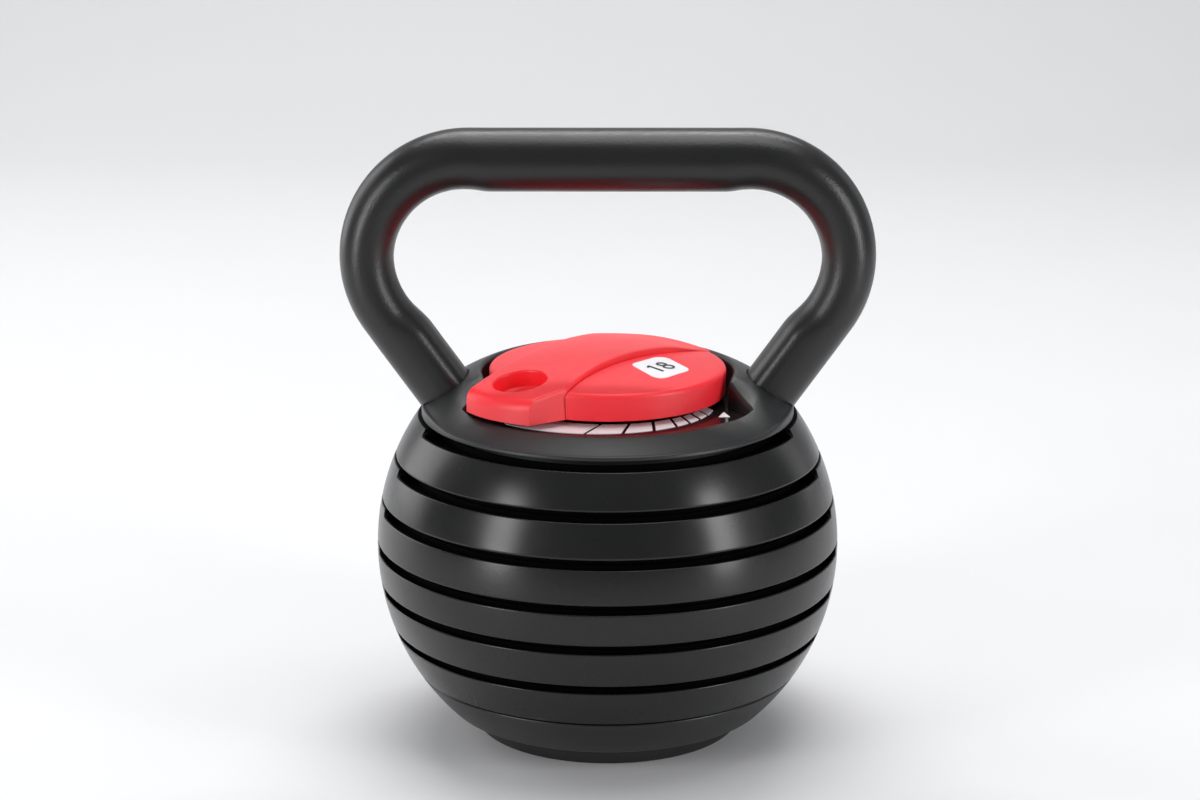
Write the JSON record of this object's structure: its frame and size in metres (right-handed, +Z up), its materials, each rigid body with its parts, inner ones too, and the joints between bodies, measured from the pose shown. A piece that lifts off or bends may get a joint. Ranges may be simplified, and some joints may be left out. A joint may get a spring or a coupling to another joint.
{
  "type": "kettlebell",
  "caption": "Adjustable kettlebell: steel loop handle with a red selector dial over a ball of stacked weight plates that stay on a round dock when they are not picked.",
  "frame": {"origin": "centre of the dock's foot, on the ground", "axes": "+Z up, +X to the right along the grip, -Y to the front, where the scale and the dial's finger hole are"},
  "size_m": [0.2352, 0.206, 0.2713],
  "materials": {
    "iron_core": "rough cast",
    "shell_plastic": "satin",
    "keyhole_steel": "stamped",
    "screw_steel": "zinc plated",
    "handle_coat": "satin powder coat",
    "bracket_steel": "painted",
    "cover_plastic": "fine moulded grain",
    "gloss_black": "gloss",
    "print_white": "printed",
    "dial_red": "satin",
    "badge_white": "printed label",
    "spindle_steel": "turned",
    "bush_brass": "turned",
    "dock_plastic": "satin",
    "foot_rubber": "moulded"
  },
  "bodies": {
    "dock": {"dock_dish": "dock_plastic", "dock_foot": "foot_rubber", "dock_socket": "dock_plastic", "dock_screws": "screw_steel"},
    "plate_1": {"plate_1_core": "iron_core", "plate_1_shell": "shell_plastic", "plate_1_keyhole": "keyhole_steel", "plate_1_screws": "screw_steel"},
    "plate_2": {"plate_2_core": "iron_core", "plate_2_shell": "shell_plastic", "plate_2_keyhole": "keyhole_steel", "plate_2_screws": "screw_steel"},
    "plate_3": {"plate_3_core": "iron_core", "plate_3_shell": "shell_plastic", "plate_3_keyhole": "keyhole_steel", "plate_3_screws": "screw_steel"},
    "plate_4": {"plate_4_core": "iron_core", "plate_4_shell": "shell_plastic", "plate_4_keyhole": "keyhole_steel", "plate_4_screws": "screw_steel"},
    "plate_5": {"plate_5_core": "iron_core", "plate_5_shell": "shell_plastic", "plate_5_keyhole": "keyhole_steel", "plate_5_screws": "screw_steel"},
    "plate_6": {"plate_6_core": "iron_core", "plate_6_shell": "shell_plastic", "plate_6_keyhole": "keyhole_steel", "plate_6_screws": "screw_steel"},
    "handle_unit": {"handle_tube": "handle_coat", "handle_bracket": "bracket_steel", "top_cover": "cover_plastic", "recess_floor": "gloss_black", "cover_screws": "screw_steel", "spindle_bush": "bush_brass", "scale_print": "print_white", "scale_marker": "print_white"},
    "selector": {"dial_disk": "dial_red", "dial_arm": "dial_red", "dial_badge": "badge_white", "dial_bolt": "screw_steel", "spindle": "spindle_steel", "lock_cams": "spindle_steel", "cam_spacers": "spindle_steel", "spindle_washer": "screw_steel", "spindle_nut": "screw_steel", "detent_ball": "spindle_steel", "detent_spring": "spindle_steel"}
  },
  "joints": [
    {"name": "lift_plate_6", "type": "slide", "parent": "dock", "child": "plate_6", "axis": [0, 0, 1], "range_m": [0, 0.03]},
    {"name": "lift_plate_5", "type": "slide", "parent": "plate_6", "child": "plate_5", "axis": [0, 0, 1], "range_m": [0, 0.0417]},
    {"name": "lift_plate_4", "type": "slide", "parent": "plate_5", "child": "plate_4", "axis": [0, 0, 1], "range_m": [0, 0.0613]},
    {"name": "lift_plate_3", "type": "slide", "parent": "plate_4", "child": "plate_3", "axis": [0, 0, 1], "range_m": [0, 0.0793]},
    {"name": "lift_plate_2", "type": "slide", "parent": "plate_3", "child": "plate_2", "axis": [0, 0, 1], "range_m": [0, 0.0984]},
    {"name": "lift_plate_1", "type": "slide", "parent": "plate_2", "child": "plate_1", "axis": [0, 0, 1], "range_m": [0, 0.1174]},
    {"name": "lift_handle", "type": "slide", "parent": "plate_1", "child": "handle_unit", "axis": [0, 0, 1], "range_m": [0, 0.1366]},
    {"name": "dial_turn", "type": "hinge", "parent": "handle_unit", "child": "selector", "pos_m": [0, 0, 0.15], "axis": [0, 0, 1], "range_deg": [0, 84]}
  ]
}
